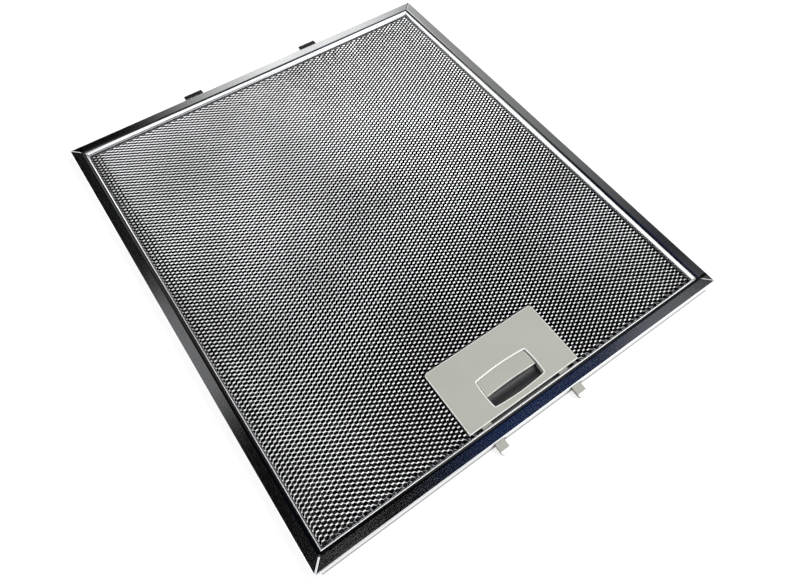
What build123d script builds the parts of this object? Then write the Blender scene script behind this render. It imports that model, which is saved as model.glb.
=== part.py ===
# Cooker hood grease filter: a folded metal frame that grips a pack of expanded mesh,
# with a sprung latch handle on the front side and two fixed tabs on the rear side.
# Millimetres. Origin at the bottom centre, +Z out of the handle face, -Y to the latch side.

from build123d import *
from math import cos, floor, radians, sin, sqrt
import os

os.makedirs("parts", exist_ok=True)

# Frame strip
frame_width = 267.5
frame_length = 305.5
frame_height = 8.0
strip = 0.5
flange = 9.0
wall_bend = 0.6
lip_bend = 3.4
lip_depth = 3.5
back_lip = 1.2
back_bend = 1.0
mitre_gap = 0.2
mitre_bevel = 0.4
mitre_dip = 0.23
seam_gap = 0.2

# Clearances: pressed seats, moving pieces, and trim laid in place
seat_gap = 0.05
slide_gap = 0.3
trim_gap = 0.1

# Mesh pack
pack_inset = 2.0
mesh_sheet = 0.5
slope_start = 0.6
slope_run = 2.0
field_rise = 0.4
field_edge = 0.9
row_pitch = 2.65
strand_width = 1.6
strand_sheet = 0.24
strand_tilt = 9.0
hem_width = 2.0
layer_count = 4
layer_sheet = 0.4
layer_slot_width = 3.0
layer_slots = 10
layer_margin = 18.0

# Handle plate and its back cover
plate_width = 74.0
plate_depth = 40.0
plate_sheet = 1.0
plate_front_gap = 1.5
plate_rear_corner = 2.0
plate_front_corner = 0.8
plate_edge = 0.6
skirt_side_inset = 4.0
skirt_front_inset = 0.5
skirt_wall = 1.0
opening_inset = 19.75
opening_depth = 17.95
opening_front = 3.65
opening_side_bow = 0.6
opening_end_bow = 0.9
opening_corner = 0.6
opening_edge = 0.8
well_wall = 0.8
back_sheet = 0.5
back_floor = 0.7
dish_depth = 0.6
dish_span = 6.4
post_radius = 1.2
post_inset = 1.6

# Latch slider and its springs
tongue_inset = 10.8
tongue_width = 5.7
tongue_height = 2.4
tongue_reach = 6.45
tongue_tip = 1.8
tongue_tip_drop = 1.2
tongue_tip_corner = 0.8
tongue_slot_side = 1.5
arm_width = 7.0
bridge_depth = 12.6
bridge_overlap = 2.0
bridge_corner = 1.5
lever_gap = 1.05
lever_bow = 0.5
lever_rear_corner = 2.8
lever_front_corner = 1.2
lever_edge = 0.35
spring_wire = 0.4
spring_radius = 1.1
spring_turns = 4
spring_block = 4.5
peg_radius = 0.7
slider_peg = 1.8
wall_peg = 1.4

# Rear tabs
tab_spacing = 91.0
tab_width = 13.0
tab_sheet = 0.8
tab_foot = 19.0
tab_reach = 6.45
tab_corner = 0.6

# Levels, worked out from the frame's two lips
lip_low = frame_height - lip_depth
pack_mid = (lip_low + back_lip) / 2
border_low = lip_low - seat_gap - mesh_sheet
field_mid = border_low + field_rise + mesh_sheet / 2
tilt = radians(strand_tilt)
strand_half = (strand_width * sin(tilt) + strand_sheet * cos(tilt)) / 2
field_top = field_mid + max(strand_half, mesh_sheet / 2)
plate_low = field_top + seat_gap
back_top = 2 * pack_mid - plate_low
back_low = back_top - back_sheet
floor_top = back_top + back_floor
slider_low = floor_top + slide_gap
slider_top = slider_low + tongue_height
slider_mid = (slider_low + slider_top) / 2
lever_top = plate_low - slide_gap
tab_low = lip_low + trim_gap

# Places along the filter, from the front wall to the rear wall
front_face = -frame_length / 2
rear_face = frame_length / 2
plate_front = front_face + flange + plate_front_gap
plate_rear = plate_front + plate_depth
plate_centre = (plate_front + plate_rear) / 2
skirt_front = plate_front + skirt_front_inset
skirt_width = plate_width - 2 * skirt_side_inset
opening_low = plate_front + opening_front
opening_high = opening_low + opening_depth
lever_rear = opening_high + slide_gap
bridge_rear = lever_rear + bridge_overlap
bridge_front = bridge_rear - bridge_depth
latch_travel = tongue_reach + seat_gap
spring_seat = bridge_rear + latch_travel + spring_block
skirt_rear = spring_seat + skirt_wall
skirt_depth = skirt_rear - skirt_front
skirt_centre = (skirt_front + skirt_rear) / 2
well_rear = bridge_front - 2 * slide_gap
arm_front = skirt_front + skirt_wall + trim_gap
field_inset = flange + slope_start + slope_run + field_edge

# Places across the handle, from the plate's middle
opening_width = plate_width - 2 * opening_inset
lever_width = opening_width - 2 * lever_gap
tongue_spacing = plate_width - 2 * tongue_inset
arm_x = tongue_spacing / 2
front_post_x = (opening_width / 2 + well_wall + arm_x - arm_width / 2) / 2
rear_post_x = (lever_width - arm_width) / 2 + post_radius


def inset_size(inset):
    return frame_width - 2 * inset, frame_length - 2 * inset


# Room in every mesh for the handle's skirt, open to the front edge
def handle_notch(rim=0.0):
    side = slide_gap + rim
    with Locations((0, (front_face + skirt_rear + side) / 2)):
        Rectangle(skirt_width + 2 * side, skirt_rear + side - front_face, mode=Mode.SUBTRACT)


# Outline shared by the plate and the back cover: round rear corners, sharper front ones
def plate_outline():
    with Locations((0, plate_centre)):
        outline = Rectangle(plate_width, plate_depth)
    corners = outline.vertices().group_by(Axis.Y)
    fillet(corners[-1], plate_rear_corner)
    fillet(corners[0], plate_front_corner)


# Finger opening, or the well around it: a rectangle with all four sides bowed out
def finger_outline(wall=0.0):
    side = opening_width / 2 + wall
    front = opening_low - wall
    rear = opening_high + wall
    corner_x = side - opening_side_bow
    low = front + opening_end_bow
    high = rear - opening_end_bow
    middle = (front + rear) / 2
    with BuildLine() as outline:
        ThreePointArc((-corner_x, low), (0, front), (corner_x, low))
        ThreePointArc((corner_x, low), (side, middle), (corner_x, high))
        ThreePointArc((corner_x, high), (0, rear), (-corner_x, high))
        ThreePointArc((-corner_x, high), (-side, middle), (-corner_x, low))
    opening = make_face(outline.edges())
    fillet(opening.vertices(), opening_corner + wall)


# The latch's bridge or lever, with its front edge hollowed for a fingertip
def hollow_front(half_width, rear):
    bow_half = lever_width / 2
    with BuildLine() as outline:
        ThreePointArc(
            (-bow_half, bridge_front), (0, bridge_front + lever_bow), (bow_half, bridge_front)
        )
        if half_width > bow_half:
            Line((bow_half, bridge_front), (half_width, bridge_front))
            Line((-half_width, bridge_front), (-bow_half, bridge_front))
        Polyline(
            (half_width, bridge_front), (half_width, rear), (-half_width, rear), (-half_width, bridge_front)
        )
    return make_face(outline.edges())


# Frame: one strip, its section swept round the four sides
with BuildPart() as frame:
    with BuildLine() as strip_path:
        Polyline(
            (0, rear_face),
            (-frame_width / 2, rear_face),
            (-frame_width / 2, front_face),
            (frame_width / 2, front_face),
            (frame_width / 2, rear_face),
            (0, rear_face),
        )
    with BuildSketch(Plane(origin=(0, rear_face, 0), x_dir=(0, -1, 0), z_dir=(-1, 0, 0))):
        with BuildLine():
            FilletPolyline(
                (flange, lip_low),
                (flange, frame_height),
                (0, frame_height),
                (0, 0),
                (flange, 0),
                (flange, back_lip),
                radius=[lip_bend, wall_bend, wall_bend, back_bend],
            )
            offset(amount=strip, side=Side.RIGHT)
        make_face()
    sweep(path=strip_path.wires()[0], transition=Transition.RIGHT)
    # Mitre cuts part the flanges at each corner and stop at the wall's bend
    with BuildSketch():
        for side_x in (-1, 1):
            for side_y in (-1, 1):
                with Locations((side_x * (frame_width / 2 - flange), side_y * (rear_face - flange))):
                    Rectangle(
                        2 * (flange - wall_bend) * sqrt(2), mitre_gap, rotation=45 * side_x * side_y
                    )
        # The strip's two ends meet at the rear left corner
        with Locations((-frame_width / 2, rear_face)):
            Rectangle(2 * flange, seam_gap, rotation=-45)
    extrude(amount=frame_height, mode=Mode.SUBTRACT)
    # The front flanges dip towards each other along the mitres
    for side_x in (-1, 1):
        for side_y in (-1, 1):
            corner = (side_x * (frame_width / 2 - flange), side_y * (rear_face - flange), frame_height)
            with BuildSketch(Plane(origin=corner, x_dir=(-side_y, side_x, 0), z_dir=(side_x, side_y, 0))):
                with BuildLine():
                    Polyline((-mitre_bevel, 0), (0, -mitre_dip), (mitre_bevel, 0), close=True)
                make_face()
            extrude(amount=flange * sqrt(2), mode=Mode.SUBTRACT)
    # Slots for the latch tongues in front and for the tabs behind
    with BuildSketch(Plane.XZ.offset(rear_face - strip)):
        with Locations((0, slider_mid)):
            with GridLocations(tongue_spacing, 1, 2, 1):
                Rectangle(tongue_width + 2 * tongue_slot_side, tongue_height + 2 * slide_gap)
    extrude(amount=strip, mode=Mode.SUBTRACT)
    with BuildSketch(Plane.XZ.offset(front_face)):
        with Locations((0, tab_low + tab_sheet / 2)):
            with GridLocations(tab_spacing, 1, 2, 1):
                Rectangle(tab_width + 2 * trim_gap, tab_sheet + 2 * trim_gap)
    extrude(amount=strip, mode=Mode.SUBTRACT)
frame.part.label = "frame"
export_step(frame.part, "parts/frame.step")

# Front mesh: a pressed border and a raised field of tilted strands, cut away for the handle
with BuildPart() as front_mesh:
    with BuildSketch(Plane.XY.offset(border_low)):
        Rectangle(*inset_size(pack_inset))
    extrude(amount=mesh_sheet)
    for base, way in ((border_low + mesh_sheet, Mode.ADD), (border_low, Mode.SUBTRACT)):
        with BuildSketch(Plane.XY.offset(base)):
            Rectangle(*inset_size(flange + slope_start))
        with BuildSketch(Plane.XY.offset(base + field_rise)):
            Rectangle(*inset_size(flange + slope_start + slope_run))
        loft(mode=way)
    field_x, field_y = inset_size(field_inset)
    with BuildSketch(Plane.XY.offset(border_low)):
        Rectangle(field_x, field_y)
        handle_notch(hem_width)
    extrude(amount=mesh_sheet + field_rise, mode=Mode.SUBTRACT)
    with BuildSketch(Plane.YZ.offset(-(field_x + field_edge) / 2)):
        with Locations((0, field_mid)):
            with GridLocations(row_pitch, 1, floor(field_y / row_pitch), 1):
                Rectangle(strand_width, strand_sheet, rotation=strand_tilt)
    extrude(amount=field_x + field_edge)
    with BuildSketch(Plane.XY.offset(border_low)):
        Rectangle(*inset_size(0))
        handle_notch()
    extrude(amount=field_top - border_low, mode=Mode.INTERSECT)
front_mesh.part.label = "front_mesh"
export_step(front_mesh.part, "parts/front_mesh.step")

# Back mesh: the same pressing, turned over on the pack's middle plane
with BuildPart() as back_mesh:
    mirror(front_mesh.part, about=Plane.XY.offset(pack_mid))
back_mesh.part.label = "back_mesh"
export_step(back_mesh.part, "parts/back_mesh.step")

# Inner layers: slotted foil between the two outer meshes, turned crosswise from layer to layer
layers_low = 2 * pack_mid - border_low
layer_pitch = (border_low - layers_low) / layer_count
layer_x, layer_y = inset_size(pack_inset)
for index in range(layer_count):
    crosswise = index % 2
    slot_run, slot_field = (layer_y, layer_x) if crosswise else (layer_x, layer_y)
    slot_length = (slot_run - 3 * layer_margin) / 2
    slot_pitch = (slot_field - 2 * layer_margin) / layer_slots
    with BuildPart() as inner_mesh:
        with BuildSketch(Plane.XY.offset(layers_low + (index + 0.5) * layer_pitch - layer_sheet / 2)):
            Rectangle(layer_x, layer_y)
            with Locations(Location((0, 0, 0), (0, 0, 90 * crosswise))):
                with GridLocations(slot_length + layer_margin, slot_pitch, 2, layer_slots):
                    Rectangle(slot_length, layer_slot_width, mode=Mode.SUBTRACT)
            handle_notch()
        extrude(amount=layer_sheet)
    layer_name = f"inner_mesh_{index + 1}"
    inner_mesh.part.label = layer_name
    export_step(inner_mesh.part, f"parts/{layer_name}.step")

# Handle plate: the visible grey plate, with the skirt that reaches through the mesh pack
with BuildPart() as handle_plate:
    with BuildSketch(Plane.XY.offset(plate_low)):
        plate_outline()
    extrude(amount=plate_sheet)
    fillet(handle_plate.faces().sort_by(Axis.Z)[-1].edges(), plate_edge)
    skirt_drop = plate_low - back_top - seat_gap
    with BuildSketch(Plane.XY.offset(plate_low)):
        with Locations((0, skirt_centre)):
            Rectangle(skirt_width, skirt_depth)
            Rectangle(skirt_width - 2 * skirt_wall, skirt_depth - 2 * skirt_wall, mode=Mode.SUBTRACT)
    extrude(amount=-skirt_drop)
    # Passages for the tongues in the skirt's front wall
    with BuildSketch(Plane.XY.offset(back_top)):
        with Locations((0, skirt_front + skirt_wall / 2)):
            with GridLocations(tongue_spacing, 1, 2, 1):
                Rectangle(tongue_width + 2 * slide_gap, skirt_wall)
    extrude(amount=slider_top + slide_gap - back_top, mode=Mode.SUBTRACT)
    # Finger well: walls that follow the opening's front and sides down to the back cover
    with BuildSketch(Plane.XY.offset(plate_low)):
        finger_outline(well_wall)
        with Locations((0, well_rear)):
            Rectangle(plate_width, plate_depth, align=(Align.CENTER, Align.MIN), mode=Mode.SUBTRACT)
    extrude(amount=-(plate_low - floor_top - seat_gap))
    with BuildSketch(Plane.XY.offset(floor_top)):
        finger_outline()
    extrude(amount=plate_low + plate_sheet - floor_top, mode=Mode.SUBTRACT)
    rim = handle_plate.faces().sort_by(Axis.Z)[-1].inner_wires()[0]
    fillet(rim.edges(), opening_edge)
    # Snap posts into the back cover, and pegs that centre the springs
    with BuildSketch(Plane.XY.offset(plate_low)):
        with Locations((0, skirt_front + skirt_wall + post_inset)):
            with GridLocations(2 * front_post_x, 1, 2, 1):
                Circle(post_radius)
        with Locations((0, spring_seat - post_inset)):
            with GridLocations(2 * rear_post_x, 1, 2, 1):
                Circle(post_radius)
    extrude(amount=-(plate_low - back_low - trim_gap))
    with BuildSketch(Plane.XZ.offset(-spring_seat)):
        with Locations((0, slider_mid)):
            with GridLocations(tongue_spacing, 1, 2, 1):
                Circle(peg_radius)
    extrude(amount=wall_peg)
handle_plate.part.label = "handle_plate"
export_step(handle_plate.part, "parts/handle_plate.step")

# Back cover: closes the handle from behind, with a dished floor under the fingertip
with BuildPart() as handle_back:
    with BuildSketch(Plane.XY.offset(back_low)):
        plate_outline()
    extrude(amount=back_sheet)
    with BuildSketch(Plane.XY.offset(back_top)):
        with Locations((0, skirt_centre)):
            Rectangle(
                skirt_width - 2 * (skirt_wall + trim_gap), skirt_depth - 2 * (skirt_wall + trim_gap)
            )
    extrude(amount=back_floor)
    dish_radius = (dish_span**2 / 4 + dish_depth**2) / (2 * dish_depth)
    dish_length = opening_width - 4 * opening_side_bow
    dish_centre = (opening_low + opening_end_bow + bridge_front) / 2
    with BuildSketch(Plane.YZ.offset(-dish_length / 2)):
        with Locations((dish_centre, floor_top - dish_depth + dish_radius)):
            Circle(dish_radius)
    extrude(amount=dish_length, mode=Mode.SUBTRACT)
    with BuildSketch(Plane.XY.offset(back_low)):
        with Locations((0, skirt_front + skirt_wall + post_inset)):
            with GridLocations(2 * front_post_x, 1, 2, 1):
                Circle(post_radius + trim_gap)
        with Locations((0, spring_seat - post_inset)):
            with GridLocations(2 * rear_post_x, 1, 2, 1):
                Circle(post_radius + trim_gap)
    extrude(amount=back_sheet + back_floor, mode=Mode.SUBTRACT)
handle_back.part.label = "handle_back"
export_step(handle_back.part, "parts/handle_back.step")

# Latch slider: two tongues on arms, joined behind the finger well by a bridge and its lever
with BuildPart() as latch_slider:
    with BuildSketch(Plane.XY.offset(slider_low)):
        bridge = hollow_front(arm_x + arm_width / 2, bridge_rear)
        fillet(bridge.vertices().group_by(Axis.Y)[-1], bridge_corner)
        with Locations((0, (arm_front + bridge_front) / 2)):
            with GridLocations(tongue_spacing, 1, 2, 1):
                Rectangle(arm_width, bridge_front - arm_front)
    extrude(amount=tongue_height)
    tip_face = front_face - tongue_reach
    with BuildSketch(Plane.XY.offset(slider_low)):
        with Locations((0, (tip_face + arm_front) / 2)):
            with GridLocations(tongue_spacing, 1, 2, 1):
                tongues = Rectangle(tongue_width, arm_front - tip_face)
        chamfer(tongues.vertices().group_by(Axis.Y)[0], tongue_tip_corner)
    extrude(amount=tongue_height)
    # Ramp on the tongues' tips
    with BuildSketch(Plane.YZ.offset(-plate_width / 2)):
        with BuildLine():
            Polyline(
                (tip_face, slider_top - tongue_tip_drop),
                (tip_face + tongue_tip, slider_top),
                (tip_face, slider_top),
                close=True,
            )
        make_face()
    extrude(amount=plate_width, mode=Mode.SUBTRACT)
    with BuildSketch(Plane.XY.offset(slider_top)):
        lever = hollow_front(lever_width / 2, lever_rear)
        lever_corners = lever.vertices().group_by(Axis.Y)
        fillet(lever_corners[-1], lever_rear_corner)
        fillet(lever_corners[0], lever_front_corner)
    extrude(amount=lever_top - slider_top)
    fillet(latch_slider.faces().sort_by(Axis.Z)[-1].edges(), lever_edge)
    with BuildSketch(Plane.XZ.offset(-bridge_rear)):
        with Locations((0, slider_mid)):
            with GridLocations(tongue_spacing, 1, 2, 1):
                Circle(peg_radius)
    extrude(amount=-slider_peg)
latch_slider.part.label = "latch_slider"
export_step(latch_slider.part, "parts/latch_slider.step")

# Springs: one behind each arm, between the bridge and the skirt's rear wall
spring_low = bridge_rear + spring_wire / 2 + trim_gap
spring_high = spring_seat - spring_wire / 2 - trim_gap
for side, side_name in ((-1, "left"), (1, "right")):
    with BuildPart() as latch_spring:
        with BuildLine() as coil:
            Helix(
                pitch=(spring_high - spring_low) / spring_turns,
                height=spring_high - spring_low,
                radius=spring_radius,
                center=(side * arm_x, spring_low, slider_mid),
                direction=(0, 1, 0),
            )
        with BuildSketch(Plane(origin=coil.line @ 0, z_dir=coil.line % 0)):
            RegularPolygon(spring_wire / 2, 4)
        sweep(path=coil.line, is_frenet=True)
    spring_name = f"latch_spring_{side_name}"
    latch_spring.part.label = spring_name
    export_step(latch_spring.part, f"parts/{spring_name}.step")

# Rear tabs: bent strips whose foot is trapped in the rear channel
foot_front = rear_face - flange + lip_bend + slide_gap
foot_rear = rear_face - strip - slide_gap
for side, side_name in ((-1, "left"), (1, "right")):
    tab_x = side * tab_spacing / 2
    with BuildPart() as rear_tab:
        with BuildSketch(Plane.XY.offset(tab_low)):
            with Locations((tab_x, (foot_front + foot_rear) / 2)):
                Rectangle(tab_foot, foot_rear - foot_front)
            with Locations((tab_x, (foot_rear + rear_face + tab_reach) / 2)):
                Rectangle(tab_width, rear_face + tab_reach - foot_rear)
        extrude(amount=tab_sheet)
        tip = rear_tab.faces().sort_by(Axis.Y)[-1]
        fillet(tip.edges().filter_by(Axis.Z), tab_corner)
        with BuildSketch(Plane.XY.offset(tab_low + tab_sheet)):
            with Locations((tab_x, foot_front + tab_sheet / 2)):
                Rectangle(tab_foot, tab_sheet)
        extrude(amount=frame_height - strip - trim_gap - tab_low - tab_sheet)
    tab_name = f"rear_tab_{side_name}"
    rear_tab.part.label = tab_name
    export_step(rear_tab.part, f"parts/{tab_name}.step")
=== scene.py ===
import math

import bpy
import mathutils
import numpy as np
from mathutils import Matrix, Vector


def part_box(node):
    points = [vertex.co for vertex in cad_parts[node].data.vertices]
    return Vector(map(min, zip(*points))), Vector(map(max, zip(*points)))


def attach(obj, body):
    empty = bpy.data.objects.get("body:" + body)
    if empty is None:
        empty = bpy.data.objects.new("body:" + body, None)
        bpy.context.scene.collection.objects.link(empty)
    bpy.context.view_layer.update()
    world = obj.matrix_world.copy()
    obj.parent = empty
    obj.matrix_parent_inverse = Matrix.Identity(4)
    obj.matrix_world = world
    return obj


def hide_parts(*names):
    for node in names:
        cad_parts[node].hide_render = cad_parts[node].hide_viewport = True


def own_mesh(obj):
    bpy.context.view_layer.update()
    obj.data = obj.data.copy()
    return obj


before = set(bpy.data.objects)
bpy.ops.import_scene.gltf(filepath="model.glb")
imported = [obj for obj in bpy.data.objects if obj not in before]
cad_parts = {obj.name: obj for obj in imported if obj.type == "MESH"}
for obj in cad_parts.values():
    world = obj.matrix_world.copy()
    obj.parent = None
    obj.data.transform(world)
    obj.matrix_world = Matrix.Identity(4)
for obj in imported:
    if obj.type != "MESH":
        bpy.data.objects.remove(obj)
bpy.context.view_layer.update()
mm = 0.001


# Smooth step: 0 below 0, 1 above 1, 3t^2 - 2t^3 between.
def softStep(t):
    t = np.clip(t, 0, 1)
    return t * t * (3 - 2 * t)


# Quads from arrays: points (n, 3) in mm, quads (m, 4) as vertex numbers, of which the first few are smooth.
def quadPiece(name, points, quads, material, smooth=0):
    mesh = bpy.data.meshes.new(name)
    mesh.vertices.add(len(points))
    mesh.vertices.foreach_set("co", (np.asarray(points, float) * mm).ravel())
    mesh.loops.add(quads.size)
    mesh.loops.foreach_set("vertex_index", quads.astype(np.int32).ravel())
    mesh.polygons.add(len(quads))
    mesh.polygons.foreach_set("loop_start", np.arange(0, quads.size, 4, dtype=np.int32))
    mesh.polygons.foreach_set("use_smooth", np.arange(len(quads)) < smooth)
    mesh.update(calc_edges=True)
    mesh.validate()
    mesh.materials.append(material)
    piece = bpy.data.objects.new(name, mesh)
    bpy.context.scene.collection.objects.link(piece)
    return piece


# A node with its settings and inputs: i0, i1 and so on name a socket by its number, other words by its label.
def addNode(tree, kind, settings=None, **inputs):
    node = tree.nodes.new(kind)
    for key, value in (settings or {}).items():
        setattr(node, key, value)
    for key, value in inputs.items():
        byNumber = key[0] == "i" and key[1:].isdigit()
        socket = node.inputs[int(key[1:])] if byNumber else node.inputs[key]
        if isinstance(value, bpy.types.NodeSocket):
            tree.links.new(value, socket)
        else:
            socket.default_value = value
    return node


# Inputs by number, then shorthands for single nodes.
def inOrder(values):
    return {f"i{n}": value for n, value in enumerate(values)}


def maths(tree, operation, *values):
    return addNode(tree, "ShaderNodeMath", {"operation": operation}, **inOrder(values)).outputs[0]


def vectors(tree, operation, *values, out="Vector"):
    return addNode(tree, "ShaderNodeVectorMath", {"operation": operation}, **inOrder(values)).outputs[out]


def parted(tree, vector):
    return addNode(tree, "ShaderNodeSeparateXYZ", Vector=vector).outputs


def combined(tree, *values):
    return addNode(tree, "ShaderNodeCombineXYZ", **inOrder(values)).outputs[0]


def noise(tree, place, scale, detail):
    return addNode(tree, "ShaderNodeTexNoise", Vector=place, Scale=scale, Detail=detail).outputs["Fac"]


# Value moved from one span to another, clamped at both ends.
def remap(tree, value, fromLow, fromHigh, toLow, toHigh, kind="SMOOTHSTEP"):
    spans = inOrder((value, fromLow, fromHigh, toLow, toHigh))
    return addNode(tree, "ShaderNodeMapRange", {"interpolation_type": kind}, **spans).outputs[0]


# Band: rises from 0 to 1 between begin and full, falls back to 0 between fall and end.
def band(tree, value, begin, full, fall, end, kind="SMOOTHSTEP"):
    rising = remap(tree, value, begin, full, 0.0, 1.0, kind)
    return maths(tree, "MULTIPLY", rising, remap(tree, value, fall, end, 1.0, 0.0, kind))


# Colour times a grey value.
def shaded(tree, colour, value):
    node = addNode(tree, "ShaderNodeMix", {"data_type": "RGBA", "blend_type": "MULTIPLY"})
    node.inputs[0].default_value = 1
    node.inputs[6].default_value = (*colour, 1)
    tree.links.new(value, node.inputs[7])
    return node.outputs[2]


def newGroup(name, ins, outs):
    tree = bpy.data.node_groups.new(name, "ShaderNodeTree")
    for label, kind, value in ins:
        socket = tree.interface.new_socket(label, in_out="INPUT", socket_type=kind)
        if value is not None:
            socket.default_value = value
    for label in outs:
        tree.interface.new_socket(label, in_out="OUTPUT", socket_type="NodeSocketFloat")
    return tree, tree.nodes.new("NodeGroupInput").outputs, tree.nodes.new("NodeGroupOutput").inputs


grainSpan = (0.3, 0.7)  # part of a noise's range that becomes 0 to 1


# Mottle of handled metal: a slow cloud for tone, a fine speckle for roughness and height.
def makeMottle():
    ins = (
        ("Vector", "NodeSocketVector", None),
        ("Cloud", "NodeSocketFloat", 25.0),
        ("Speck", "NodeSocketFloat", 900.0),
        ("Depth", "NodeSocketFloat", 0.2),
    )
    tree, start, end = newGroup("metalMottle", ins, ("Tone", "Dull", "Height"))
    cloud = noise(tree, start["Vector"], start["Cloud"], 3.0)
    speck = noise(tree, start["Vector"], start["Speck"], 1.5)
    low = maths(tree, "SUBTRACT", 1.0, start["Depth"])
    tree.links.new(remap(tree, cloud, *grainSpan, low, 1.0), end["Tone"])
    tree.links.new(remap(tree, speck, *grainSpan, 0.0, 1.0), end["Dull"])
    tree.links.new(speck, end["Height"])
    return tree


# Spark-eroded mould texture: round cells plus a coarser grain for height, that grain for roughness, a slow drift for
# tone.
def makeMouldGrain():
    coarseShare, driftScale = 0.4, 40.0
    ins = (
        ("Vector", "NodeSocketVector", None),
        ("Grain", "NodeSocketFloat", 2600.0),
        ("Depth", "NodeSocketFloat", 0.06),
    )
    tree, start, end = newGroup("mouldGrain", ins, ("Tone", "Dull", "Height"))
    inputs = {"Vector": start["Vector"], "Scale": start["Grain"]}
    cells = addNode(tree, "ShaderNodeTexVoronoi", {"feature": "SMOOTH_F1"}, **inputs)
    coarse = noise(tree, start["Vector"], maths(tree, "MULTIPLY", start["Grain"], coarseShare), 2.0)
    drift = noise(tree, start["Vector"], driftScale, 2.0)
    low = maths(tree, "SUBTRACT", 1.0, start["Depth"])
    tree.links.new(remap(tree, drift, *grainSpan, low, 1.0), end["Tone"])
    tree.links.new(remap(tree, coarse, *grainSpan, 0.0, 1.0), end["Dull"])
    tree.links.new(maths(tree, "ADD", cells.outputs["Distance"], coarse), end["Height"])
    return tree


mottleGroup, mouldGroup = makeMottle(), makeMouldGrain()
print("shader groups built")


# A material with a Principled shader, its tree and its Object coordinates.
def newMaterial(name):
    material = bpy.data.materials.new(name)
    material.use_nodes = True
    tree = material.node_tree
    place = addNode(tree, "ShaderNodeTexCoord").outputs["Object"]
    return material, tree, tree.nodes["Principled BSDF"], place


def useGroup(tree, group, **inputs):
    return addNode(tree, "ShaderNodeGroup", {"node_tree": group}, **inputs).outputs


def bumped(tree, shader, height, strength, distance):
    bump = addNode(tree, "ShaderNodeBump", Strength=strength, Distance=distance, Height=height)
    tree.links.new(bump.outputs["Normal"], shader.inputs["Normal"])


stripFinish = {
    "colour": (0.80, 0.81, 0.83),
    "rough": (0.10, 0.17),
    "anisotropic": 0.4,
    "halfWidth": 133.75,  # mm, the frame's outer half sizes part the four rails at the mitres
    "halfLength": 152.75,
    "grainLines": 2200.0,  # lines a metre across the rail
    "grainStretch": 0.02,  # the same along the rail, as a share of that
    "lineShare": 0.6,  # the grain's share of the roughness, the rest is mottle
    "roughSpan": (0.25, 0.75),
    "lineHeight": 0.5,
    "cloud": 18.0,
    "speckle": 1600.0,
    "toneDepth": 0.10,
    "bump": 0.16,
    "bumpDepth": 0.00006,
    "paintedShadeLine": (5.5, 5.8, 7.1, 7.4),  # mm from the left and front edges: the painted shade line begins, is full, fades, ends
    # base colour factor where the painted shade line is darkest
    "paintedShadeFactor": 0.10,
    "paintedShadeFrom": (4.0, 5.0),  # mm of height where the painted shade line sets in, so that only the upper side has it
}


# Bright rolled strip. Grain runs along each rail: a point belongs to a side rail where it is nearer to the side than
# to the end. A painted shade line, a darker base colour, follows the fold of the left and front lips.
def makeStrip(finish):
    material, tree, shader, place = newMaterial("brightStrip")
    x, y, z = parted(tree, place)
    width, length = finish["halfWidth"] * mm, finish["halfLength"] * mm
    inX = maths(tree, "SUBTRACT", width, maths(tree, "ABSOLUTE", x))
    inY = maths(tree, "SUBTRACT", length, maths(tree, "ABSOLUTE", y))
    onSide = maths(tree, "LESS_THAN", inX, inY)
    onEnd = maths(tree, "SUBTRACT", 1.0, onSide)
    along = maths(tree, "ADD", maths(tree, "MULTIPLY", y, onSide), maths(tree, "MULTIPLY", x, onEnd))
    across = maths(tree, "MINIMUM", inX, inY)
    spot = combined(tree, maths(tree, "MULTIPLY", along, finish["grainStretch"]), across, z)
    lines = noise(tree, spot, finish["grainLines"], 2.0)
    scales = {"Cloud": finish["cloud"], "Speck": finish["speckle"], "Depth": finish["toneDepth"]}
    mottle = useGroup(tree, mottleGroup, Vector=place, **scales)
    # Painted shade: the base colour darkens along the fold of the left and front lips.
    fromEdge = maths(tree, "MINIMUM", maths(tree, "ADD", x, width), maths(tree, "ADD", y, length))
    paintedShade = band(tree, fromEdge, *(edge * mm for edge in finish["paintedShadeLine"]))
    low, high = (level * mm for level in finish["paintedShadeFrom"])
    paintedShade = maths(tree, "MULTIPLY", paintedShade, remap(tree, z, low, high, 0.0, 1.0))
    shadeFactor = remap(tree, paintedShade, 0.0, 1.0, 1.0, finish["paintedShadeFactor"], "LINEAR")
    toneAndShade = maths(tree, "MULTIPLY", mottle["Tone"], shadeFactor)
    tree.links.new(shaded(tree, finish["colour"], toneAndShade), shader.inputs["Base Color"])
    lineRough = maths(tree, "MULTIPLY", lines, finish["lineShare"])
    mixed = maths(tree, "ADD", lineRough, maths(tree, "MULTIPLY", mottle["Dull"], 1 - finish["lineShare"]))
    tree.links.new(remap(tree, mixed, *finish["roughSpan"], *finish["rough"]), shader.inputs["Roughness"])
    height = maths(tree, "ADD", maths(tree, "MULTIPLY", lines, finish["lineHeight"]), mottle["Height"])
    bumped(tree, shader, height, finish["bump"], finish["bumpDepth"])
    grain = combined(tree, onEnd, onSide, 0.0)
    normal = addNode(tree, "ShaderNodeNewGeometry").outputs["Normal"]
    spread = vectors(tree, "CROSS_PRODUCT", grain, normal)  # the gloss spreads across the grain
    tree.links.new(spread, shader.inputs["Tangent"])
    shader.inputs["Anisotropic"].default_value = finish["anisotropic"]
    shader.inputs["Metallic"].default_value = 1.0
    return material


# Metal with a mottle: tone, roughness and height from the shared group.
def makeMetal(name, finish):
    material, tree, shader, place = newMaterial(name)
    scales = {"Cloud": finish["cloud"], "Speck": finish["speck"], "Depth": finish["toneDepth"]}
    mottle = useGroup(tree, mottleGroup, Vector=place, **scales)
    tree.links.new(shaded(tree, finish["colour"], mottle["Tone"]), shader.inputs["Base Color"])
    tree.links.new(remap(tree, mottle["Dull"], 0.0, 1.0, *finish["rough"]), shader.inputs["Roughness"])
    bumped(tree, shader, mottle["Height"], finish["bump"], finish["bumpDepth"])
    shader.inputs["Metallic"].default_value = finish["metallic"]
    return material


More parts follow.
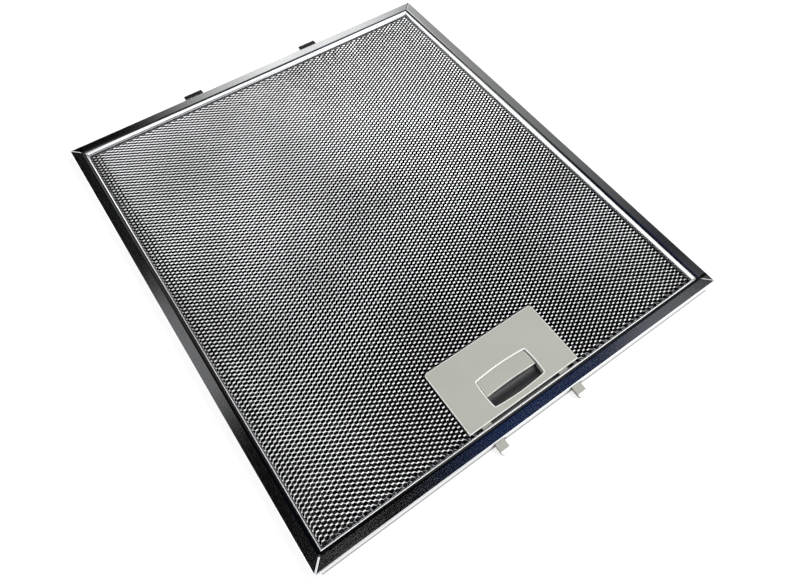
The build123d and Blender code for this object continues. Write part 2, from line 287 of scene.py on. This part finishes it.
foilFinish = {
    "colour": (0.86, 0.87, 0.88),
    "rough": (0.09, 0.15),
    "cloud": 14.0,
    "speck": 700.0,
    "toneDepth": 0.22,
    "bump": 0.15,
    "bumpDepth": 0.00004,
    "metallic": 1.0,
}
paintedShadeFinish = {**foilFinish, "colour": (0.02, 0.02, 0.022)}  # painted shade: the same aluminium foil as the outer sheets, near black for the shade deep in the pack
tabFinish = {
    "colour": (0.020, 0.021, 0.025),
    "rough": (0.32, 0.5),
    "cloud": 90.0,
    "speck": 1400.0,
    "toneDepth": 0.3,
    "bump": 0.12,
    "bumpDepth": 0.00005,
    "metallic": 0.4,
}
wireFinish = {**tabFinish, "colour": (0.55, 0.55, 0.56), "rough": (0.22, 0.34), "metallic": 1.0}
mouldFinish = {
    "colour": (0.455, 0.458, 0.410),
    # colour of the painted highlight on rounded edges
    "edge": (0.95, 0.95, 0.93),
    "highlightBand": (0.05, 0.2, 0.95, 0.995),  # upward part of the normal: the painted edge highlight begins, is full, fades, ends
    "rough": (0.34, 0.46),
    "grain": 2600.0,
    "toneDepth": 0.05,
    "bump": 0.10,
    "bumpDepth": 0.00005,
}
# the dark cover gets a faint painted highlight on its edges
coverFinish = {**mouldFinish, "colour": (0.022, 0.023, 0.025), "edge": (0.06, 0.06, 0.06)}


# Moulded plastic: grain on the surface, and a painted highlight that lightens edges where the surface is neither level
# nor upright.
def makeMoulding(name, finish):
    material, tree, shader, place = newMaterial(name)
    grain = useGroup(tree, mouldGroup, Vector=place, Grain=finish["grain"], Depth=finish["toneDepth"])
    level = parted(tree, addNode(tree, "ShaderNodeNewGeometry").outputs["True Normal"])[2]
    # Painted highlight: the base colour turns light on sloped edge facets.
    paintedHighlight = band(tree, level, *finish["highlightBand"])
    blend = addNode(tree, "ShaderNodeMix", {"data_type": "RGBA"}, i0=paintedHighlight, i7=(*finish["edge"], 1))
    tree.links.new(shaded(tree, finish["colour"], grain["Tone"]), blend.inputs[6])
    tree.links.new(blend.outputs[2], shader.inputs["Base Color"])
    tree.links.new(remap(tree, grain["Dull"], 0.0, 1.0, *finish["rough"]), shader.inputs["Roughness"])
    bumped(tree, shader, grain["Height"], finish["bump"], finish["bumpDepth"])
    return material


brightStrip = makeStrip(stripFinish)
brightFoil = makeMetal("brightFoil", foilFinish)
paintedShadeFoil = makeMetal("paintedShadeFoil", paintedShadeFinish)
greyMoulding = makeMoulding("greyMoulding", mouldFinish)
darkMoulding = makeMoulding("darkMoulding", coverFinish)
blackStrip = makeMetal("blackStrip", tabFinish)
springWire = makeMetal("springWire", wireFinish)
print("materials built")

for node, material in {
    "frame": brightStrip,
    "handle_plate": greyMoulding,
    "latch_slider": greyMoulding,
    "handle_back": darkMoulding,
    "rear_tab_left": blackStrip,
    "rear_tab_right": blackStrip,
}.items():
    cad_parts[node].data.materials.clear()
    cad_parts[node].data.materials.append(material)

outerMesh = {
    "cellLong": 4.55,  # mm from bond to bond along a strip
    "cellShort": 2.56,  # mm from bond to bond across the strips
    "bondHalf": 0.72,  # half the length of a bond
    "strandWidth": 0.37,
    "strandSheet": 0.12,
    "tilt": 30.0,  # degrees the bonds lean to the latch side
    "borderTilt": 24.0,
    "fieldMid": 4.40,
    "borderMid": 4.20,
    "halfX": 125.6,  # strips end just under the lip
    "halfY": 144.6,
    "lipX": 124.75,
    "lipY": 143.75,
    "dipStart": 0.3,
    "dipRun": 1.0,
    "hemX": 131.75,
    "hemY": 150.75,
    "hemGap": 0.2,  # from the lip to the hem's inner edge
    "hemHeights": (4.0, 4.4),
    "packMid": 2.85,
    "parting": 2.0,  # strips to the rear of this line are a piece of their own
    "unevenTilt": 0.8,
    "seed": 11,
}
innerFoil = {
    "cellLong": 9.0,
    "cellShort": 5.0,
    "bondHalf": 0.9,
    "strandWidth": 1.5,
    "strandSheet": 0.12,
    "tilt": 8.0,
    "levels": (2.025, 2.575, 3.125, 3.675),
    "halfX": 131.5,
    "halfY": 150.5,
    "unevenTilt": 0.3,
    "firstSeed": 21,
}
notch = {"halfX": 33.3, "rear": -106.05}  # room for the handle's skirt


# Strips of an expanded sheet. Strip j is a ribbon along u that swings by a blunt zigzag, so that its edge meets the
# strip on either side at every other bond. It has a section at both ends of each bond; a section is a small flat box
# turned by the sheet's tilt, and a strip that reaches up to a bond hangs down from it.
# mid(u, v) gives the sheet's height and tilt, present(u, v) is true where the sheet is there.
def expandedSheet(sheet, halfU, halfV, mid, present, seed):
    pitch, rise = sheet["cellLong"] / 2, sheet["cellShort"] / 2
    reach, rows = int(halfU / pitch), int(2 * halfV / rise)
    k, j = np.arange(4 * reach + 2), np.arange(rows)[:, None]
    bond = k // 2
    u = (bond - reach) * pitch + np.where(k % 2 == 0, -1, 1) * sheet["bondHalf"]
    stripV = (j - (rows - 1) / 2) * rise
    swing = np.where((bond + j) % 2 == 0, 1, -1)  # 1 at an upper bond, -1 at a lower one
    bondV = stripV + swing * rise / 2
    uneven = np.random.default_rng(seed).normal(0, sheet["unevenTilt"], (2 * rows + 1, 2 * reach + 1))
    z, tilt = mid(np.broadcast_to(u, swing.shape), bondV)
    tilt = np.radians(tilt + uneven[2 * j + 1 + swing, bond] * tilt / sheet["tilt"])
    c, s = np.cos(tilt)[..., None], np.sin(tilt)[..., None]
    a = sheet["strandWidth"] / 2 * (np.array([-1, 1, 1, -1]) - swing[..., None])
    b = sheet["strandSheet"] / 2 * np.array([-1, -1, 1, 1])
    v = bondV[..., None] + a * c - b * s
    points = np.stack([np.broadcast_to(u[:, None], v.shape), v, z[..., None] + a * s + b * c], -1)
    there = present(*np.meshgrid((u[1:] + u[:-1]) / 2, stripV[:, 0]))
    corner = np.arange(points.size // 3).reshape(points.shape[:-1])
    near, far = corner[:, :-1], corner[:, 1:]
    sides = [np.stack([near[..., n], near[..., n - 3], far[..., n - 3], far[..., n]], -1)[there] for n in range(4)]
    edge = np.pad(there, ((0, 0), (1, 1)))
    starts, ends = edge[:, 1:] & ~edge[:, :-1], edge[:, :-1] & ~edge[:, 1:]
    quads = np.concatenate(sides + [corner[starts][:, ::-1], corner[ends]])
    used, quads = np.unique(quads, return_inverse=True)
    return points.reshape(-1, 3)[used], quads.reshape(-1, 4)


# Flat ring between two rectangles, with its four walls, as the pressed hem inside the channel.
def hemRing(outer, inner, low, high):
    ring = np.array([(-1, -1), (1, -1), (1, 1), (-1, 1)], float)
    rims = ((outer, low), (inner, low), (inner, high), (outer, high))
    points = np.concatenate([np.c_[ring * size, np.full(4, z)] for size, z in rims])
    n = np.arange(4)
    m = (n + 1) % 4
    walls = ((0, 1), (1, 2), (2, 3), (3, 0))
    quads = [np.stack([4 * p + n, 4 * q + n, 4 * q + m, 4 * p + m], -1) for p, q in walls]
    return points, np.concatenate(quads)


# Height and tilt of the outer mesh: pressed down under the lip, then raised over a short slope.
def outerMid(u, v):
    m = outerMesh
    inside = np.minimum(m["lipX"] - np.abs(u), m["lipY"] - np.abs(v))
    raised = softStep((inside - m["dipStart"]) / m["dipRun"])
    height = m["borderMid"] + (m["fieldMid"] - m["borderMid"]) * raised
    return height, m["borderTilt"] + (m["tilt"] - m["borderTilt"]) * raised


def clearOfHandle(x, y):
    return ~((np.abs(x) < notch["halfX"]) & (y < notch["rear"]))


# Strips of one half of an outer mesh, half -1 in front of the parting line and 1 behind it. The front half has the hem.
def makeOuterMesh(name, half, upsideDown):
    m = outerMesh

    def onHalf(x, y):
        return clearOfHandle(x, y) & ((y > m["parting"]) == (half > 0))

    points, quads = expandedSheet(m, m["halfX"], m["halfY"], outerMid, onHalf, m["seed"])
    if half < 0:
        inner = (m["lipX"] + m["hemGap"], m["lipY"] + m["hemGap"])
        hemPoints, hemQuads = hemRing((m["hemX"], m["hemY"]), inner, *m["hemHeights"])
        quads = np.concatenate([quads, hemQuads + len(points)])
        points = np.concatenate([points, hemPoints])
    if upsideDown:
        points = points * (1, 1, -1) + (0, 0, 2 * m["packMid"])
        quads = quads[:, ::-1]
    return quadPiece(name, points, quads, brightFoil)


# Coarser foil at one level, in the near-black painted shade material. A turned foil's strips run from front to rear.
def makeInnerFoil(name, level, turned, seed):
    s = innerFoil

    def mid(u, v):
        return np.full(u.shape, level), np.full(u.shape, s["tilt"])

    if turned:
        points, quads = expandedSheet(s, s["halfY"], s["halfX"], mid, lambda u, v: clearOfHandle(v, u), seed)
        return quadPiece(name, points[:, [1, 0, 2]], quads[:, ::-1], paintedShadeFoil)
    points, quads = expandedSheet(s, s["halfX"], s["halfY"], mid, clearOfHandle, seed)
    return quadPiece(name, points, quads, paintedShadeFoil)


for name, node, half, upsideDown in (
    ("frontMeshFore", "front_mesh", -1, False),
    ("frontMeshRear", "front_mesh", 1, False),
    ("backMeshFore", "back_mesh", -1, True),
    ("backMeshRear", "back_mesh", 1, True),
):
    piece = makeOuterMesh(name, half, upsideDown)
    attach(piece, "filter")
    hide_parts(node)
    print(name, "built:", 2 * len(piece.data.polygons), "triangles")

for number, level in enumerate(innerFoil["levels"], 1):
    piece = makeInnerFoil(f"innerFoil{number}", level, number % 2 == 0, innerFoil["firstSeed"] + number - 1)
    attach(piece, "filter")
    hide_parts(f"inner_mesh_{number}")
    print(piece.name, "built:", 2 * len(piece.data.polygons), "triangles")

spring = {
    "radius": 1.1,
    "wire": 0.2,
    "turns": 7.0,
    "close": 0.11,  # how far the end turns close up
    "keep": 0.40,  # length left when the latch is drawn in
    "steps": 28,  # a turn
    "sides": 8,  # of the wire, the number that the caps are written for
}


# Coil: a ring of points carried along a helix about Y, whose end turns close up so that they lie flat.
def makeSpring(name, node):
    low, high = (np.array(corner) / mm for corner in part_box(node))
    middle = (low + high) / 2
    front, rear = low[1] + spring["wire"], high[1] - spring["wire"]
    t = np.linspace(0, 1, int(spring["steps"] * spring["turns"]) + 1)
    ease = t - spring["close"] * np.sin(2 * np.pi * t)
    angle = 2 * np.pi * spring["turns"] * t
    out = np.stack([np.cos(angle), np.zeros_like(t), np.sin(angle)], -1)
    centre = np.stack([np.full_like(t, middle[0]), front + (rear - front) * ease, np.full_like(t, middle[2])], -1)
    centre = centre + spring["radius"] * out
    sides = spring["sides"]
    ring = np.linspace(0, 2 * np.pi, sides, endpoint=False)[None, :, None]
    points = centre[:, None] + spring["wire"] * (np.cos(ring) * out[:, None] + np.sin(ring) * np.array([0, 1, 0]))
    i, n = np.meshgrid(np.arange(len(t) - 1) * sides, np.arange(sides), indexing="ij")
    m = (n + 1) % sides
    quads = np.stack([i + n, i + m, i + sides + m, i + sides + n], -1).reshape(-1, 4)
    caps = np.array([[0, 1, 2, 3], [0, 3, 4, 7], [4, 5, 6, 7]])
    smooth = len(quads)
    quads = np.concatenate([quads, caps[:, ::-1], caps + (len(t) - 1) * sides])
    piece = quadPiece(name, points.reshape(-1, 3), quads, springWire, smooth)
    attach(piece, "filter")
    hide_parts(node)
    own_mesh(piece)


makeSpring("springLeft", "latch_spring_left")
makeSpring("springRight", "latch_spring_right")
print("springs built")

white, warm, blue = (1, 1, 1), (1, 1, 0.98), (0.08, 0.26, 1.0)
stageSet = {
    "floorHalf": 4000.0,  # mm
    "floorLevel": -0.3,
    "floorGlow": 0.80,
    "floorColour": 0.30,
    "under": (131.0, -153.2, 150.0),  # mm, half width, front and rear of the floor's painted shadow patch, which reaches just past the front wall as a painted contact shadow
    "underEdge": (-0.6, 0.3),  # mm, soft edge of the painted shadow patch
    "horizon": (1.0, 1.0, 1.0),
    "middle": (0.003, 0.003, 0.0033),
    "zenith": (0.001, 0.001, 0.001),
    "stops": (0.15, 0.23),  # sine of the elevation where the horizon's glow begins to fall and ends
    # Soft boxes: azimuth from +X to +Y where the light begins, is full, begins to fall and ends, the same for the
    # elevation, all in degrees, then strength and colour. The notes say what mirrors them for the camera.
    "boxes": (
        ((-100, -93, -28, -18), (26, 31, 84, 88), 1.4, white),  # bonds and rear lip
        ((-52, -42, -8, 2), (48, 54, 64, 70), 1.2, white),  # rear lip's bend
        ((6, 10, 24, 32), (-2, 0, 10, 14), 0.3, white),  # strands at the right rear
        ((118, 126, 168, 178), (2, 8, 56, 62), 1.3, white),  # right lip
        ((-200, -190, -180, -167), (14, 18, 32, 37), 1.5, white),  # strands at the rear left
        ((14, 66, 70, 86), (31, 35, 48, 56), 0.50, warm),  # right rail
        ((52, 59, 70, 82), (31, 34, 42, 47), 0.62, warm),  # rear rail
        ((84, 92, 100, 112), (52, 56, 64, 68), 0.20, white),  # middle of the left rail
        ((2, 6, 13, 18), (49, 52, 57, 61), 0.15, white),  # front rail's right end
        ((4, 22, 34, 56), (48, 62, 70, 80), 0.085, blue),  # front rail
        ((-148, -141, -132, -128), (30, 34, 42, 46), 0.6, white),  # strands at the right front
        ((36, 42, 92, 98), (1, 3, 14, 19), 1.1, white),  # left and front lips
        ((-190, -180, -112, -104), (52, 58, 80, 86), 0.8, white),  # for views from the right
        ((-190, -185, 185, 190), (85, 88, 90, 90.1), 0.8, white),  # for views from the front
        ((98, 104, 132, 137), (6, 12, 30, 36), 0.8, white),  # for views from the front
        ((-78, -72, -32, -26), (2, 6, 26, 31), 1.2, white),  # foot of the rear lip
    ),
}


# Pale floor: its own glow for camera, glossy and transmission rays, with the lit floor added so that the shadow stays.
# The glow leaves out a patch under the part: a painted shadow, which reaches just past the front wall as a painted
# contact shadow.
def makeFloor():
    half, level = stageSet["floorHalf"], stageSet["floorLevel"]
    corners = np.array([(-half, -half, level), (half, -half, level), (half, half, level), (-half, half, level)])
    material = bpy.data.materials.new("paleFloor")
    floor = quadPiece("floor", corners, np.array([[0, 1, 2, 3]]), material)
    material.use_nodes = True
    tree = material.node_tree
    tree.nodes.remove(tree.nodes["Principled BSDF"])
    rays = addNode(tree, "ShaderNodeLightPath").outputs
    seen = maths(tree, "MAXIMUM", rays["Is Camera Ray"], rays["Is Glossy Ray"])
    seen = maths(tree, "MAXIMUM", seen, rays["Is Transmission Ray"])
    x, y, z = parted(tree, addNode(tree, "ShaderNodeTexCoord").outputs["Object"])
    side, front, rear = (edge * mm for edge in stageSet["under"])
    over = maths(tree, "SUBTRACT", maths(tree, "ABSOLUTE", x), side)
    over = maths(tree, "MAXIMUM", over, maths(tree, "SUBTRACT", front, y))
    over = maths(tree, "MAXIMUM", over, maths(tree, "SUBTRACT", y, rear))
    inner, outer = (edge * mm for edge in stageSet["underEdge"])
    # Painted shadow: no glow under the part and along the front wall's foot.
    clear = remap(tree, over, inner, outer, 0.0, stageSet["floorGlow"])
    glow = addNode(tree, "ShaderNodeEmission", Color=(1, 1, 1, 1), Strength=maths(tree, "MULTIPLY", seen, clear))
    matt = addNode(tree, "ShaderNodeBsdfDiffuse", Color=(*[stageSet["floorColour"]] * 3, 1))
    both = addNode(tree, "ShaderNodeAddShader", i0=glow.outputs[0], i1=matt.outputs[0])
    tree.links.new(both.outputs[0], tree.nodes["Material Output"].inputs["Surface"])


# World: pale at the horizon, dark overhead, with soft boxes. A box is the product of two bands, one of the direction's
# azimuth, measured from the box's own middle, and one of its elevation.
def makeWorld():
    world = bpy.data.worlds.new("studio")
    bpy.context.scene.world = world
    world.use_nodes = True
    tree = world.node_tree
    look = vectors(tree, "NORMALIZE", addNode(tree, "ShaderNodeTexCoord").outputs["Generated"])
    up = parted(tree, look)[2]
    ramp = addNode(tree, "ShaderNodeValToRGB", Fac=up)
    ramp.color_ramp.interpolation = "EASE"
    stops = ramp.color_ramp.elements
    stops[0].position, stops[0].color = stageSet["stops"][0], (*stageSet["horizon"], 1)
    stops[1].position, stops[1].color = 1.0, (*stageSet["zenith"], 1)
    stops.new(stageSet["stops"][1]).color = (*stageSet["middle"], 1)
    light = ramp.outputs["Color"]
    height = maths(tree, "DEGREES", maths(tree, "ARCSINE", up))
    for across, upward, strength, colour in stageSet["boxes"]:
        middle = sum(across) / 4
        turn = (math.cos(math.radians(middle)), math.sin(math.radians(middle)), 0.0)
        left = (-turn[1], turn[0], 0.0)
        ahead, aside = (vectors(tree, "DOT_PRODUCT", look, way, out="Value") for way in (turn, left))
        bearing = maths(tree, "DEGREES", maths(tree, "ARCTAN2", aside, ahead))
        wide = band(tree, bearing, *(stop - middle for stop in across), "LINEAR")
        glow = maths(tree, "MULTIPLY", strength, maths(tree, "MULTIPLY", wide, band(tree, height, *upward, "LINEAR")))
        light = vectors(tree, "ADD", light, vectors(tree, "MULTIPLY", glow, colour))
    tree.links.new(light, tree.nodes["Background"].inputs["Color"])


lampSet = {"azimuth": -40.0, "elevation": 52.0, "distance": 1.2, "size": 0.6, "power": 8.8}


# Lamp over the right front, wide and soft, that shows in no mirror.
def makeLamp():
    data = bpy.data.lights.new("softLamp", "AREA")
    data.shape, data.size, data.energy = "DISK", lampSet["size"], lampSet["power"]
    lamp = bpy.data.objects.new("softLamp", data)
    az, el = math.radians(lampSet["azimuth"]), math.radians(lampSet["elevation"])
    away = mathutils.Vector((math.cos(az) * math.cos(el), math.sin(az) * math.cos(el), math.sin(el)))
    lamp.location = away * lampSet["distance"]
    lamp.rotation_euler = away.to_track_quat("Z", "Y").to_euler()
    lamp.visible_glossy = False
    lamp.visible_camera = False
    bpy.context.scene.collection.objects.link(lamp)


# Camera as fitted to the photograph's frame corners.
cameraSet = {
    "place": (-114.56, -193.61, 305.49),  # mm
    "azimuth": -36.64,
    "elevation": 60.65,
    "roll": 1.417,
    "focal": 605.1,  # in pixels, as the next two
    "middle": (410.76, 293.94),
    "picture": (786, 587),
    "sensor": 36.0,
    "clip": (0.01, 50.0),
}


# The camera's axes from azimuth and elevation, then turned by the roll.
def makeCamera():
    c = cameraSet
    data = bpy.data.cameras.new("camera")
    camera = bpy.data.objects.new("camera", data)
    bpy.context.scene.collection.objects.link(camera)
    az, el, roll = (math.radians(c[key]) for key in ("azimuth", "elevation", "roll"))
    back = np.array([math.sin(az) * math.cos(el), -math.cos(az) * math.cos(el), math.sin(el)])
    level = np.array([math.cos(az), math.sin(az), 0.0])
    steep = np.cross(back, level)
    right = level * math.cos(roll) + steep * math.sin(roll)
    up = steep * math.cos(roll) - level * math.sin(roll)
    placed = np.eye(4)
    placed[:3, :3] = np.stack([right, up, back], 1)
    placed[:3, 3] = np.array(c["place"]) * mm
    camera.matrix_world = placed.T.tolist()
    width, height = c["picture"]
    data.sensor_fit, data.sensor_width = "HORIZONTAL", c["sensor"]
    data.lens = c["sensor"] * c["focal"] / width
    data.shift_x = (width / 2 - c["middle"][0]) / width
    data.shift_y = (c["middle"][1] - height / 2) / width
    data.clip_start, data.clip_end = c["clip"]
    bpy.context.scene.camera = camera


makeFloor()
makeWorld()
makeLamp()
makeCamera()
bpy.context.scene.view_settings.view_transform = "Standard"
print("stage built")
